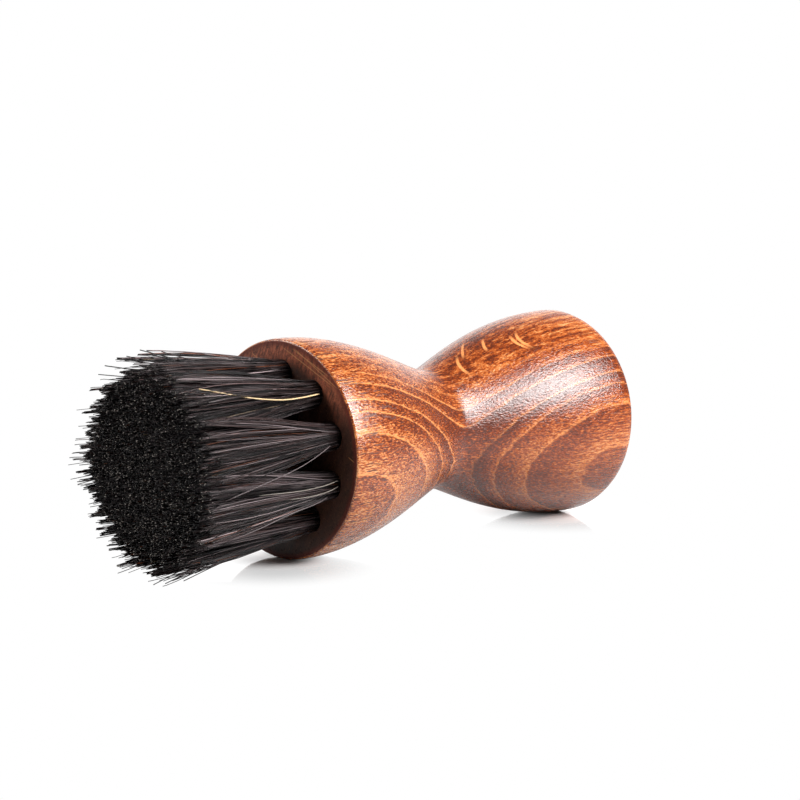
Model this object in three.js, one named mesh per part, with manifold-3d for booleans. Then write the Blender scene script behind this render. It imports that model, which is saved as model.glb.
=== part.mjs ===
// Round applicator brush for shoe polish, lying on its side on a table.
// Millimetres, +Z up. The turning axis runs along X, with the bristle tips towards -X and the flat butt
// towards +X. The origin is on the table, under the middle of the brush.
//
// The brush is a handle turned from one piece of beech, with blind holes drilled into its head. Each hole
// holds one tuft of horsehair, folded in half under a wire staple whose legs are driven into the wood.
import * as THREE from "three";
import { mergeVertices } from "three/addons/utils/BufferGeometryUtils.js";
import Module from "manifold-3d";

const wasm = await Module();
wasm.setup();

// Handle: heights are measured from the flat butt, along the turning axis.
const HANDLE_LENGTH = 74.4;
const SWELL_RADIUS = 20;
const WAIST_RADIUS = 11.3;
const WAIST_HEIGHT = 38;
const BUTT_SWELL_HEIGHT = 1.5;
const HEAD_SWELL_DEPTH = 1.6; // below the head's face
const BUTT_FULLNESS = 18.3; // how far each swell holds its width before it falls to the waist
const HEAD_FULLNESS = 15.2;
const WAIST_SOFTNESS = 4.5; // half the height over which the waist turns round
const BUTT_TUCK = 0.3; // how much narrower each end is than its swell
const HEAD_TUCK = 0.1;
const BUTT_EDGE = 0.8; // rounded edges of the two flat ends
const RIM_EDGE = 0.5;

// Drilled seats in the head's face
const HOLE_RADIUS = 2.5;
const HOLE_DEPTH = 12;
const DRILL_POINT_DEPTH = 1.5;
const RIM_WALL = 3.6; // wood outside the outer ring of holes
const RING_WALL = 2.7; // wood between the two rings
const OUTER_TUFTS = 10;
const INNER_TUFTS = 5;
const FIRST_TUFT_ANGLE = THREE.MathUtils.degToRad(92);

// Tufts
const BRISTLE_LENGTH = 31; // free length, from the face to the trimmed tips
const TUFT_PROUD = 0.8; // the bundle stays tight this far out of its hole
const TUFT_LEAN = 0.6; // how far the tips of the outer ring lean outwards
const TIP_GAP = 0.5; // between the tips of neighbouring tufts
const STRANDS_PER_TUFT = 24;
const STRAND_RADIUS = 0.3;
const STRAND_ROOT = 0.5; // how deep a strand is fused into its bundle
const TRIM_SPREAD = 1.2; // the shortest strand ends this far below the tips

// Staples
const STAPLE_WIRE = 0.7;
const STAPLE_LEG = 6;
const FOLD_THICKNESS = 1.8; // hair between the staple's crown and the floor of the hole

const FIT_GAP = 0.2; // between pieces that seat in one another

// Facets
const TURN_SIDES = 32;
const SWELL_STEPS = 12;
const EDGE_STEPS = 3;
const HOLE_SIDES = 12;
const STRAND_SIDES = 3;
const STRAND_STEPS = 2;

const TUFT_RADIUS = HOLE_RADIUS - FIT_GAP;
const OUTER_RING = SWELL_RADIUS - RIM_WALL - HOLE_RADIUS;
const INNER_RING = OUTER_RING - RING_WALL - 2 * HOLE_RADIUS;
const BRUSH_LENGTH = HANDLE_LENGTH + BRISTLE_LENGTH;
const GOLDEN_ANGLE = Math.PI * (3 - Math.sqrt(5));

const BEECH = new THREE.MeshStandardMaterial({ color: 0x7d3d17, roughness: 0.32, metalness: 0 });
const HORSEHAIR = new THREE.MeshStandardMaterial({ color: 0x1b1817, roughness: 0.55, metalness: 0 });
const STEEL = new THREE.MeshStandardMaterial({ color: 0xa9a8a3, roughness: 0.35, metalness: 0.9 });

// A closed geometry as a solid that can be joined and cut.
function solidOf(geometry) {
  const bare = geometry.clone();
  bare.deleteAttribute("normal");
  bare.deleteAttribute("uv");
  const merged = mergeVertices(bare, 1e-4);
  const mesh = new wasm.Mesh({
    numProp: 3,
    vertProperties: new Float32Array(merged.attributes.position.array),
    triVerts: new Uint32Array(merged.index.array),
  });
  return new wasm.Manifold(mesh);
}

// A solid back as a geometry.
function geometryOf(solid) {
  const mesh = solid.getMesh();
  const geometry = new THREE.BufferGeometry();
  geometry.setAttribute("position", new THREE.BufferAttribute(mesh.vertProperties, 3));
  geometry.setIndex(new THREE.BufferAttribute(mesh.triVerts, 1));
  geometry.computeVertexNormals();
  return geometry;
}

// One closed skin over rings of equally many points, with both ends capped.
function loft(rings) {
  const sides = rings[0].length;
  const index = [];
  for (let ring = 0; ring + 1 < rings.length; ring++) {
    for (let side = 0; side < sides; side++) {
      const next = (side + 1) % sides;
      const [a, b] = [ring * sides + side, ring * sides + next];
      index.push(a, b, b + sides, a, b + sides, a + sides);
    }
  }
  const last = (rings.length - 1) * sides;
  for (let side = 1; side + 1 < sides; side++) {
    index.push(0, side + 1, side);
    index.push(last, last + side, last + side + 1);
  }
  const geometry = new THREE.BufferGeometry().setFromPoints(rings.flat());
  geometry.setIndex(index);
  return geometry;
}

// Outline of the handle from the middle of its butt to the middle of its face: two full swells that run
// down to a narrow waist.
function handleOutline() {
  const at = (radius, height) => new THREE.Vector2(radius, height);
  const bezier = (...points) => new THREE.CubicBezierCurve(...points);
  const corner = (radius, height, edge, from, to) =>
    new THREE.EllipseCurve(radius - edge, height, edge, edge, from, to, false);

  const buttRadius = SWELL_RADIUS - BUTT_TUCK;
  const rimRadius = SWELL_RADIUS - HEAD_TUCK;
  const headSwell = HANDLE_LENGTH - HEAD_SWELL_DEPTH;
  const rimHeight = HANDLE_LENGTH - RIM_EDGE;

  const buttCorner = corner(buttRadius, BUTT_EDGE, BUTT_EDGE, -Math.PI / 2, 0);
  const butt = bezier(
    at(SWELL_RADIUS, BUTT_SWELL_HEIGHT),
    at(SWELL_RADIUS, BUTT_SWELL_HEIGHT + BUTT_FULLNESS),
    at(WAIST_RADIUS, WAIST_HEIGHT - WAIST_SOFTNESS),
    at(WAIST_RADIUS, WAIST_HEIGHT),
  );
  const head = bezier(
    at(WAIST_RADIUS, WAIST_HEIGHT),
    at(WAIST_RADIUS, WAIST_HEIGHT + WAIST_SOFTNESS),
    at(SWELL_RADIUS, headSwell - HEAD_FULLNESS),
    at(SWELL_RADIUS, headSwell),
  );
  const rimCorner = corner(rimRadius, rimHeight, RIM_EDGE, 0, Math.PI / 2);
  return [
    at(0, 0),
    ...buttCorner.getPoints(EDGE_STEPS),
    ...butt.getPoints(SWELL_STEPS),
    ...head.getPoints(SWELL_STEPS).slice(1),
    ...rimCorner.getPoints(EDGE_STEPS),
    at(0, HANDLE_LENGTH),
  ];
}

// Places of the tufts: a group on the face for each, with +Y out of the face and +X away from the axis.
function tuftSeats() {
  const seats = [];
  const ring = (name, count, radius, firstAngle, lean) => {
    for (let i = 0; i < count; i++) {
      const angle = firstAngle + (i * 2 * Math.PI) / count;
      const seat = new THREE.Group();
      seat.position.set(radius * Math.cos(angle), HANDLE_LENGTH, radius * Math.sin(angle));
      seat.rotation.y = -angle;
      seat.updateMatrix();
      seats.push({ seat, ring: name, label: String(i + 1).padStart(2, "0"), lean });
    }
  };
  ring("outer", OUTER_TUFTS, OUTER_RING, FIRST_TUFT_ANGLE, TUFT_LEAN);
  ring("inner", INNER_TUFTS, INNER_RING, FIRST_TUFT_ANGLE + Math.PI / OUTER_TUFTS, 0);
  return seats;
}

// Flat side view of a staple: a crown with round shoulders and two legs, grown on every side by a margin.
function stapleOutline(margin) {
  const outer = TUFT_RADIUS + margin;
  const inner = TUFT_RADIUS - STAPLE_WIRE - margin;
  const foot = -STAPLE_LEG - margin;
  const shoulder = STAPLE_WIRE;
  const shape = new THREE.Shape();
  shape.moveTo(-outer, foot);
  shape.lineTo(-inner, foot);
  shape.lineTo(-inner, -STAPLE_WIRE - margin);
  shape.lineTo(inner, -STAPLE_WIRE - margin);
  shape.lineTo(inner, foot);
  shape.lineTo(outer, foot);
  shape.lineTo(outer, margin - shoulder);
  shape.quadraticCurveTo(outer, margin, outer - shoulder, margin);
  shape.lineTo(shoulder - outer, margin);
  shape.quadraticCurveTo(-outer, margin, -outer, margin - shoulder);
  return shape;
}

// A staple in its seat, across the hole, so that its legs don't split the wall outside the ring.
function stapleGeometry(margin) {
  const width = STAPLE_WIRE + 2 * margin;
  const geometry = new THREE.ExtrudeGeometry(stapleOutline(margin), {
    depth: width,
    bevelEnabled: false,
    curveSegments: EDGE_STEPS,
  });
  geometry.translate(0, FOLD_THICKNESS + STAPLE_WIRE - HOLE_DEPTH, -width / 2);
  return geometry.rotateY(Math.PI / 2);
}

// What the drill takes out of the head for one tuft, with its cone point.
function drilledHole() {
  const aboveFace = 1;
  const outline = [
    new THREE.Vector2(0, -HOLE_DEPTH - DRILL_POINT_DEPTH),
    new THREE.Vector2(HOLE_RADIUS, -HOLE_DEPTH),
    new THREE.Vector2(HOLE_RADIUS, aboveFace),
    new THREE.Vector2(0, aboveFace),
  ];
  return new THREE.LatheGeometry(outline, HOLE_SIDES);
}

function makeHandle(seats) {
  const turned = new THREE.LatheGeometry(handleOutline(), TURN_SIDES, Math.PI / TURN_SIDES);
  const seatCut = solidOf(drilledHole()).add(solidOf(stapleGeometry(FIT_GAP)));
  const cut = geometryOf(seatCut);
  const cuts = seats.map(({ seat }) => solidOf(cut.clone().applyMatrix4(seat.matrix)));
  const solid = cuts.reduce((wood, hole) => wood.subtract(hole), solidOf(turned));
  const handle = new THREE.Mesh(geometryOf(solid), BEECH);
  handle.name = "handle";
  return handle;
}

// The tight part of a tuft, from its fold at the floor of the hole to just outside the face.
function bundleGeometry() {
  const floor = FIT_GAP - HOLE_DEPTH;
  const foldTop = floor + FOLD_THICKNESS;
  const fold = new THREE.EllipseCurve(0, foldTop, TUFT_RADIUS, FOLD_THICKNESS, -Math.PI / 2, 0, false);
  const outline = [
    ...fold.getPoints(EDGE_STEPS),
    new THREE.Vector2(TUFT_RADIUS, TUFT_PROUD),
    new THREE.Vector2(0, TUFT_PROUD),
  ];
  return new THREE.LatheGeometry(outline, HOLE_SIDES);
}

// One strand of a tuft. The strands lie as seeds do in a sunflower head, and the pattern grows evenly from
// the bundle to the tips, so none crosses another. It grows most near the face.
function strandGeometry(order, tipRadius, lean) {
  const share = Math.sqrt((order + 0.5) / STRANDS_PER_TUFT);
  const angle = order * GOLDEN_ANGLE;
  const rootSpread = TUFT_RADIUS - STRAND_RADIUS;
  const shortfall = TRIM_SPREAD * ((order * GOLDEN_ANGLE / Math.PI) % 1);
  const tip = BRISTLE_LENGTH - shortfall;
  const rings = [];
  for (let step = 0; step <= STRAND_STEPS + 1; step++) {
    const rise = Math.max(0, step - 1) / STRAND_STEPS;
    const height = step === 0 ? TUFT_PROUD - STRAND_ROOT : TUFT_PROUD + rise * (tip - TUFT_PROUD);
    const part = (rise * (tip - TUFT_PROUD)) / (BRISTLE_LENGTH - TUFT_PROUD);
    const fan = Math.sin((part * Math.PI) / 2);
    const spread = share * THREE.MathUtils.lerp(rootSpread, tipRadius - STRAND_RADIUS, fan);
    const centre = new THREE.Vector3(
      lean * part * part + spread * Math.cos(angle),
      height,
      spread * Math.sin(angle),
    );
    const corner = (side) => {
      const turn = angle - (side * 2 * Math.PI) / STRAND_SIDES;
      return new THREE.Vector3(Math.cos(turn), 0, Math.sin(turn)).multiplyScalar(STRAND_RADIUS).add(centre);
    };
    rings.push(Array.from({ length: STRAND_SIDES }, (_, side) => corner(side)));
  }
  return loft(rings);
}

// A tuft: strands fused into their bundle, which straddles the staple.
function tuftGeometry(tipRadius, lean) {
  let tuft = solidOf(bundleGeometry()).subtract(solidOf(stapleGeometry(FIT_GAP)));
  for (let order = 0; order < STRANDS_PER_TUFT; order++) {
    tuft = tuft.add(solidOf(strandGeometry(order, tipRadius, lean)));
  }
  return geometryOf(tuft);
}

// Room for a tuft's tips: half the way to the tips of its nearest neighbour, less half a gap.
function tipRoom(own, seats) {
  const tipOf = ({ seat, lean }) => new THREE.Vector3(lean, BRISTLE_LENGTH, 0).applyMatrix4(seat.matrix);
  const others = seats.filter((other) => other !== own);
  const nearest = Math.min(...others.map((other) => tipOf(other).distanceTo(tipOf(own))));
  return (nearest - TIP_GAP) / 2;
}

// Fills each seat with its tuft and its staple. The tufts of one ring are alike.
function fillSeats(seats) {
  const tuftOfRing = new Map();
  for (const own of seats) {
    if (!tuftOfRing.has(own.ring)) {
      tuftOfRing.set(own.ring, tuftGeometry(tipRoom(own, seats), own.lean));
    }
    const tuft = new THREE.Mesh(tuftOfRing.get(own.ring), HORSEHAIR);
    tuft.name = `${own.ring}_tuft_${own.label}`;
    const staple = new THREE.Mesh(stapleGeometry(0), STEEL);
    staple.name = `${own.ring}_staple_${own.label}`;
    own.seat.add(tuft, staple);
  }
}

// The brush stands along +Y as it is turned, and is then laid down on one flat of its swells.
const seats = tuftSeats();
const brush = new THREE.Group();
brush.add(makeHandle(seats));
fillSeats(seats);
brush.add(...seats.map(({ seat }) => seat));
brush.rotation.z = Math.PI / 2;
brush.position.set(BRUSH_LENGTH / 2, 0, SWELL_RADIUS * Math.cos(Math.PI / TURN_SIDES));

const part = new THREE.Group();
part.add(brush);
export default part;
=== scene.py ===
"""Dressed model of a round shoe polish applicator brush, lying on its side.

The turned beech handle, its fifteen tufts of horsehair and the wire staples that hold them are built over
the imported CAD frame. Sizes are in millimetres unless a name says otherwise, and the scene is in metres.
"""

import logging
import math
from dataclasses import dataclass, field
from enum import Enum
from functools import reduce
from typing import Iterable, Sequence

import bpy
import numpy as np
from mathutils import Matrix, Vector


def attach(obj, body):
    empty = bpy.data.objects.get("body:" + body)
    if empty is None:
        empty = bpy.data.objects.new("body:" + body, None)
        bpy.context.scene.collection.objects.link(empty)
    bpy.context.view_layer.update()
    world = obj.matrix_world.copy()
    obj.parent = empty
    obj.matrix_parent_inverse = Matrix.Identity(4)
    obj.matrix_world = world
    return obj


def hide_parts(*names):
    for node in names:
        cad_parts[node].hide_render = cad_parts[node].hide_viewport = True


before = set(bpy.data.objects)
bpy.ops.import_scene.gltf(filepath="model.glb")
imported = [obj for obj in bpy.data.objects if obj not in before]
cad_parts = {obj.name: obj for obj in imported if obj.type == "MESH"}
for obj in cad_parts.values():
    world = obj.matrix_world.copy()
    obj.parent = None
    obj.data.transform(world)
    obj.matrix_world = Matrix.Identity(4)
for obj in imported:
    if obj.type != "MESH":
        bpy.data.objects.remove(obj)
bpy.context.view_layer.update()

log = logging.getLogger("brush")

MM = 0.001
BODY = "root"

Colour = tuple[float, float, float, float]
Span = tuple[float, float]
Socket = bpy.types.NodeSocket

WHITE: Colour = (1.0, 1.0, 1.0, 1.0)


def srgb(red: int, green: int, blue: int) -> Colour:
    """Turns an 8-bit display colour into the scene's linear colour.

    Args:
        red: Red, 0 to 255.
        green: Green, 0 to 255.
        blue: Blue, 0 to 255.

    Returns:
        The linear colour with full alpha.
    """

    def linear(value: int) -> float:
        """Undoes the display curve for one channel."""
        share = value / 255
        return share / 12.92 if share <= 0.04045 else ((share + 0.055) / 1.055) ** 2.4

    return (linear(red), linear(green), linear(blue), 1.0)


class NodeSheet:
    """The node tree of a material or of the surround, with short calls for the nodes that they use."""

    def __init__(self, owner: bpy.types.Material | bpy.types.World) -> None:
        """Empties the node tree.

        Args:
            owner: The material or world.
        """
        owner.use_nodes = True
        self.owner = owner
        self.tree = owner.node_tree
        self.tree.nodes.clear()

    @classmethod
    def finish(cls, name: str) -> "NodeSheet":
        """Starts a new material."""
        return cls(bpy.data.materials.new(name))

    def put(self, socket: Socket, value: object) -> None:
        """Links a socket to another socket, or sets its value.

        Args:
            socket: The socket to fill.
            value: A value, or the socket to link it to.
        """
        if isinstance(value, Socket):
            self.tree.links.new(value, socket)
        else:
            socket.default_value = value

    def node(self, kind: str, **inputs: object) -> bpy.types.Node:
        """Adds a node and fills its inputs.

        Args:
            kind: The node's Blender type.
            **inputs: Values or sockets by input name, with _ for a space.

        Returns:
            The new node.
        """
        made = self.tree.nodes.new(kind)
        for name, value in inputs.items():
            self.put(made.inputs[name.replace("_", " ")], value)
        return made

    def math(self, operation: str, first: object, second: object = 0.0, third: object = 0.0) -> Socket:
        """Adds a Math node and returns its result.

        Args:
            operation: The node's operation.
            first: The first value or socket.
            second: The second value or socket, where the operation takes one.
            third: The third value or socket, where the operation takes one.

        Returns:
            The result socket.
        """
        made = self.tree.nodes.new("ShaderNodeMath")
        made.operation = operation
        for socket, value in zip(made.inputs, (first, second, third)):
            self.put(socket, value)
        return made.outputs[0]

    def total(self, start: float, *terms: tuple[object, float, float]) -> Socket:
        """Adds weighted values to a number.

        Args:
            start: The number.
            *terms: Each value with the middle that it is measured from, and its weight.

        Returns:
            The result socket.
        """
        result = start - sum(middle * weight for _, middle, weight in terms)
        for value, _, weight in terms:
            result = self.math("MULTIPLY_ADD", value, weight, result)
        return result

    def length(self, first: object, second: object) -> Socket:
        """Gives the length of a vector of two values."""
        square = self.math("MULTIPLY", second, second)
        return self.math("SQRT", self.math("MULTIPLY_ADD", first, first, square))

    def product(self, *values: object) -> Socket:
        """Multiplies two or more values."""
        return reduce(lambda result, value: self.math("MULTIPLY", result, value), values)

    def off(self, value: object, middle: object) -> Socket:
        """Gives how far a value lies from a middle, on either side."""
        return self.math("ABSOLUTE", self.math("SUBTRACT", value, middle))

    def place(self, kind: str = "Object") -> Socket:
        """Gives the place on the piece, or the direction in the surround."""
        return self.tree.nodes.new("ShaderNodeTexCoord").outputs[kind]

    def combine(self, x: object, y: object, z: object) -> Socket:
        """Joins three values into a vector socket."""
        return self.node("ShaderNodeCombineXYZ", X=x, Y=y, Z=z).outputs[0]

    def split(self, vector: Socket) -> tuple[Socket, ...]:
        """Splits a vector socket into its three values."""
        return tuple(self.node("ShaderNodeSeparateXYZ", Vector=vector).outputs)

    def scaled(self, place: Sequence[object], rates: Sequence[float]) -> Socket:
        """Scales three values by their own rates and joins them into a vector socket."""
        return self.combine(*(self.math("MULTIPLY", value, rate) for value, rate in zip(place, rates)))

    def noise(self, vector: Socket, scale: float, detail: float, rough: float = 0.5) -> Socket:
        """Adds a Noise Texture and returns its value, which stays near one half.

        Args:
            vector: Where to read it.
            scale: Its scale.
            detail: How many finer layers it has.
            rough: How strong the finer layers are.

        Returns:
            The value socket.
        """
        made = self.node("ShaderNodeTexNoise", Vector=vector, Scale=scale, Detail=detail, Roughness=rough)
        return made.outputs[0]

    def ramp(self, value: Socket, stops: Sequence[tuple[float, Colour]]) -> Socket:
        """Adds a Color Ramp and returns its colour.

        Args:
            value: What drives it.
            stops: Places and colours, in order.

        Returns:
            The colour socket.
        """
        made = self.node("ShaderNodeValToRGB", Fac=value)
        elements = made.color_ramp.elements
        while len(elements) < len(stops):
            elements.new(1.0)
        for element, (place, colour) in zip(elements, stops):
            element.position = place
            element.color = colour
        return made.outputs[0]

    def curve(self, value: Socket, stops: Sequence[Span]) -> Socket:
        """Maps a value through straight steps between stops of place and result."""
        return self.ramp(value, [(place, (result, result, result, 1.0)) for place, result in stops])

    def band(self, value: object, low: float, high: float) -> Socket:
        """Maps low..high of a value to 0..1, eased and held at both ends.

        Args:
            value: What is mapped.
            low: Where the result is 0.
            high: Where the result is 1.

        Returns:
            The result socket.
        """
        made = self.tree.nodes.new("ShaderNodeMapRange")
        made.interpolation_type = "SMOOTHSTEP"
        for socket, setting in zip(made.inputs, (value, low, high)):
            self.put(socket, setting)
        return made.outputs[0]

    def mix(self, share: object, first: object, second: object) -> Socket:
        """Mixes two colours.

        Args:
            share: How much of the second.
            first: The first colour or socket.
            second: The second colour or socket.

        Returns:
            The colour socket.
        """
        made = self.tree.nodes.new("ShaderNodeMix")
        made.data_type = "RGBA"
        # The node has sockets for every data type, and these are the colour's.
        self.put(made.inputs[0], share)
        self.put(made.inputs[6], first)
        self.put(made.inputs[7], second)
        return made.outputs[2]

    def layer(self, colour: object, *coats: tuple[object, object]) -> Socket:
        """Lays colours over a first one, in order.

        Args:
            colour: The first colour or socket.
            *coats: How much of each coat shows, and its colour.

        Returns:
            The colour socket.
        """
        for share, coat in coats:
            colour = self.mix(share, colour, coat)
        return colour

    def bumps(self, height: Socket, strength: float, depth: float) -> Socket:
        """Turns a height into a bumpy surface.

        Args:
            height: The height, as a share of the depth.
            strength: How strong the bumps are.
            depth: How deep they are.

        Returns:
            The normal socket.
        """
        made = self.node("ShaderNodeBump", Height=height)
        made.inputs["Strength"].default_value = strength
        made.inputs["Distance"].default_value = depth * MM
        return made.outputs[0]

    def blend(self, share: object, first: bpy.types.Node, second: bpy.types.Node) -> bpy.types.Node:
        """Mixes two shaders.

        Args:
            share: How much of the second.
            first: The first shader.
            second: The second shader.

        Returns:
            The mixed shader.
        """
        made = self.node("ShaderNodeMixShader", Fac=share)
        for socket, shader in zip(list(made.inputs)[1:], (first, second)):
            self.put(socket, shader.outputs[0])
        return made

    def shade(self, shader: bpy.types.Node) -> bpy.types.ID:
        """Gives the material or world its shader.

        Args:
            shader: The last shader node.

        Returns:
            The material or world.
        """
        kind = "World" if isinstance(self.owner, bpy.types.World) else "Material"
        output = self.tree.nodes.new(f"ShaderNodeOutput{kind}")
        self.tree.links.new(shader.outputs[0], output.inputs["Surface"])
        return self.owner


@dataclass(frozen=True)
class RayFleck:
    """A bright ray that the turning has laid bare on the butt's upper side.

    Attributes:
        along: Distance of its middle from the head's face.
        turn: Place of its middle round the axis, in degrees from +Y towards +Z.
        half_turn: Half the angle that it spans, in degrees.
        lean: How far it runs along the grain, in millimetres a degree.
        bow: How much it curves, in millimetres a degree squared.
    """

    along: float
    turn: float
    half_turn: float
    lean: float
    bow: float


@dataclass(frozen=True)
class Scratch:
    """A fine scratch on the head's face, from end to end, as Y and Z from the turning axis."""

    start: tuple[float, float]
    end: tuple[float, float]


@dataclass(frozen=True)
class WoodPoint:
    """Where a point of the surface lies in the wood and how the surface cuts it there, as node sockets.

    Attributes:
        along: Distance from the head's face along the grain.
        across: Distance from the turning axis across the rings.
        side: Distance from the turning axis along the rings.
        fibre: Long streaks along the grain, about one half.
        speck: Fine specks, about one half.
        mottle: Small swellings of the lacquer over the grain, about one half.
        span: Distance from the pith.
        ring: Place between two growth lines, from 0 to 1.
        slant: How fast the surface crosses the rings, from 0 along them to 1 straight through.
        quarter: How much the surface is cut across the rings.
        ends: How much the surface is an end cut.
    """

    along: Socket
    across: Socket
    side: Socket
    fibre: Socket
    speck: Socket
    mottle: Socket
    span: Socket
    ring: Socket
    slant: Socket
    quarter: Socket
    ends: Socket

    @property
    def place(self) -> tuple[Socket, Socket, Socket]:
        """Place along the grain, across the rings and along them."""
        return self.along, self.across, self.side


@dataclass(frozen=True)
class Grain:
    """A noise stretched in the wood's own directions.

    Attributes:
        rates: How fast it changes along the grain, across the rings and along them.
        scale: How fast it changes over all.
        rough: How strong its finer layers are.
        layers: How many finer layers it has.
    """

    rates: tuple[float, float, float]
    scale: float
    rough: float = 0.5
    layers: float = 2.0

    def draw(self, sheet: NodeSheet, place: Sequence[Socket]) -> Socket:
        """Adds the noise at a place in the wood and returns its value, which is about one half."""
        return sheet.noise(sheet.scaled(place, self.rates), self.scale, self.layers, self.rough)


@dataclass(frozen=True)
class ToneWeights:
    """How much each part of the figure lightens the wood, from dark near 0 to light at 1."""

    base: float = 0.4
    head: float = 0.08
    rim: float = 0.15
    ring: float = 0.42
    fibre: float = 1.5
    speck: float = 2.4
    streak: float = 1.0
    patch: float = 0.55
    quarter: float = 0.12
    inner: float = -0.14
    inner_butt: float = 0.25
    dark_rings: float = -0.26


@dataclass(frozen=True)
class StainedBeech:
    """Brown-stained beech under satin lacquer, as a solid texture that the turning cuts through.

    The growth rings are wide cylinders round a pith outside the handle, so the turned swells show nested
    ovals. Each ring darkens just past its pale line and pales again towards the next. The rays run across
    the rings: they are short dark dashes where the cut follows a ring, and bright flecks where it crosses
    the rings. A span of two values says where something starts to show and where it shows in full.
    """

    # The blank and its growth rings.
    ring_angle: float = math.radians(209.5)
    pith_distance: float = 80.0
    growth_lines: tuple[float, ...] = (22.0, 19.0, 15.8, 13.4, 11.8, 9.1, 7.1)
    ring_width: float = 2.3
    blank_reach: float = 22.0
    ring_slope: float = -0.0103
    handle_middle: float = 37.0
    hollow: float = 40.5
    # Colours of the stained wood.
    line: Colour = srgb(232, 150, 88)
    light: Colour = srgb(214, 149, 94)
    pale: Colour = srgb(191, 104, 48)
    mid: Colour = srgb(142, 61, 25)
    dark: Colour = srgb(87, 39, 24)
    pore: Colour = srgb(77, 31, 16)
    end_grain: Colour = srgb(196, 106, 74)
    # Colour of the end grain's pores, also laid as the painted shade on the head's face.
    end_pore_and_shade: Colour = srgb(26, 13, 9)
    end_rim: Colour = srgb(96, 22, 6)
    dust: Colour = srgb(150, 106, 82)
    # Rings and lengths of the handle with a look of their own.
    dark_rings: tuple[float, float, float] = (9.5, 5.0, 2.0)
    flat_rings: tuple[Span, Span] = ((3.0, 8.0), (-10.0, -14.0))
    inner_rings: tuple[Span, Span] = ((8.0, 0.0), (-16.0, -11.0))
    middle_rings: float = 0.4
    head_zone: Span = (50.0, 25.0)
    head_lines: Span = (50.0, 30.0)
    rim_zone: Span = (14.0, 2.0)
    butt_zone: Span = (54.0, 66.0)
    # Figure between the growth lines.
    fibre: Grain = Grain((0.06, 1.0, 1.0), 4.2, 0.6)
    speck: Grain = Grain((0.26, 1.0, 1.0), 5.0, 0.6)
    mottle: Grain = Grain((0.6, 1.0, 1.0), 2.8, 0.6)
    patch: Grain = Grain((0.5, 1.0, 1.0), 0.14)
    streak: Grain = Grain((0.03, 1.0, 1.0), 1.1)
    streak_share: float = 0.2
    inner_streaks: float = 1.6
    speck_share: float = 0.6
    head_specks: float = 0.6
    drift: Grain = Grain((0.35, 1.0, 1.0), 0.09)
    drift_reach: float = 1.0
    wobble: Grain = Grain((0.3, 1.0, 1.0), 0.7)
    wobble_reach: float = 0.5
    feather_reach: float = 0.6
    ring_tone: tuple[Span, ...] = ((0.0, 0.5), (0.06, 0.0), (0.3, 0.1), (0.62, 0.4), (0.9, 0.8), (1.0, 0.9))
    ring_middle: float = 0.35
    tone: ToneWeights = ToneWeights()
    tone_stops: tuple[float, ...] = (0.05, 0.4, 0.7, 1.0)
    # Pale growth lines.
    line_after: Span = (0.2, 0.04)
    line_before: Span = (0.34, 0.08)
    line_breaks: Span = (0.25, 0.5)
    line_fade: Span = (1.1, 0.2)
    line_share: float = 0.48
    head_line_gain: float = 0.4
    hollow_zone: Span = (1.5, 6.0)
    hollow_lines: float = 0.35
    # Short dark dashes.
    dash: Grain = Grain((0.16, 1.6, 2.8), 1.0, 0.6)
    dash_edge: Span = (0.56, 0.66)
    dash_zone: Span = (16.0, 4.0)
    dash_share: float = 0.5
    rim_dashes: float = 0.4
    # How the turning cuts the wood.
    slant_floor: float = 0.015
    quarter_cut: Span = (0.5, 0.2)
    end_facing: Span = (0.82, 0.97)
    # End cuts of the head and the butt.
    end_share: float = 0.95
    end_relief: Span = (1.2, 0.0)
    end_marks: Grain = Grain((1.0, 0.3, 0.3), 2.4, 0.5, 3.0)
    end_contrast: Span = (0.35, 0.65)
    late_wood: tuple[Span, ...] = ((0.0, 1.0), (0.12, 0.25), (0.6, 0.1), (0.92, 0.5), (1.0, 1.0))
    late_share: float = 0.85
    face_zone: Span = (1.0, 0.5)
    # Painted shade on the head's face: darker towards its low side and near the axis among the tufts, where
    # the tufts shade it.
    painted_shade_height: Span = (14.0, 4.0)
    painted_shade_reach: Span = (17.5, 15.0)
    painted_shade_share: float = 0.94
    rim_stain: Span = (18.4, 19.3)
    rim_share: float = 0.8
    dust_marks: Grain = Grain((1.0, 1.0, 1.0), 2.6, 0.7, 3.0)
    dust_contrast: Span = (0.57, 0.7)
    dust_share: float = 0.5
    # Bright ray flecks on the butt and scratches on the face.
    fleck_core: float = 0.4
    fleck_ends: float = 0.3
    fleck_breaks: Span = (0.2, 0.44)
    fleck_width: float = 0.45
    flecks: tuple[RayFleck, ...] = (
        RayFleck(41.7, 110.5, 17.0, -0.07, 0.0058),
        RayFleck(45.9, 94.0, 12.0, -0.245, 0.005),
        RayFleck(49.3, 102.5, 9.0, -0.18, 0.009),
        RayFleck(54.3, 115.0, 10.5, 0.02, 0.0115),
        RayFleck(55.4, 114.5, 11.5, -0.033, 0.0123),
    )
    scratch_width: float = 0.1
    scratch_ends: float = 0.6
    scratches: tuple[Scratch, ...] = (
        Scratch((0.5, 19.1), (-14.5, 12.3)),
        Scratch((-2.5, 18.8), (-13.3, 14.1)),
        Scratch((-2.9, 19.0), (-15.6, 12.0)),
        Scratch((7.8, 16.9), (5.0, 15.6)),
        Scratch((-17.4, 0.7), (-19.1, -0.2)),
    )
    # Lacquer.
    specular: float = 0.68
    lacquer_rough: float = 0.21
    fibre_rough: float = 0.2
    dull_rough: float = 0.3
    grain_relief: float = 0.3
    bump_strength: float = 0.6
    bump_depth: float = 0.16

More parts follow.
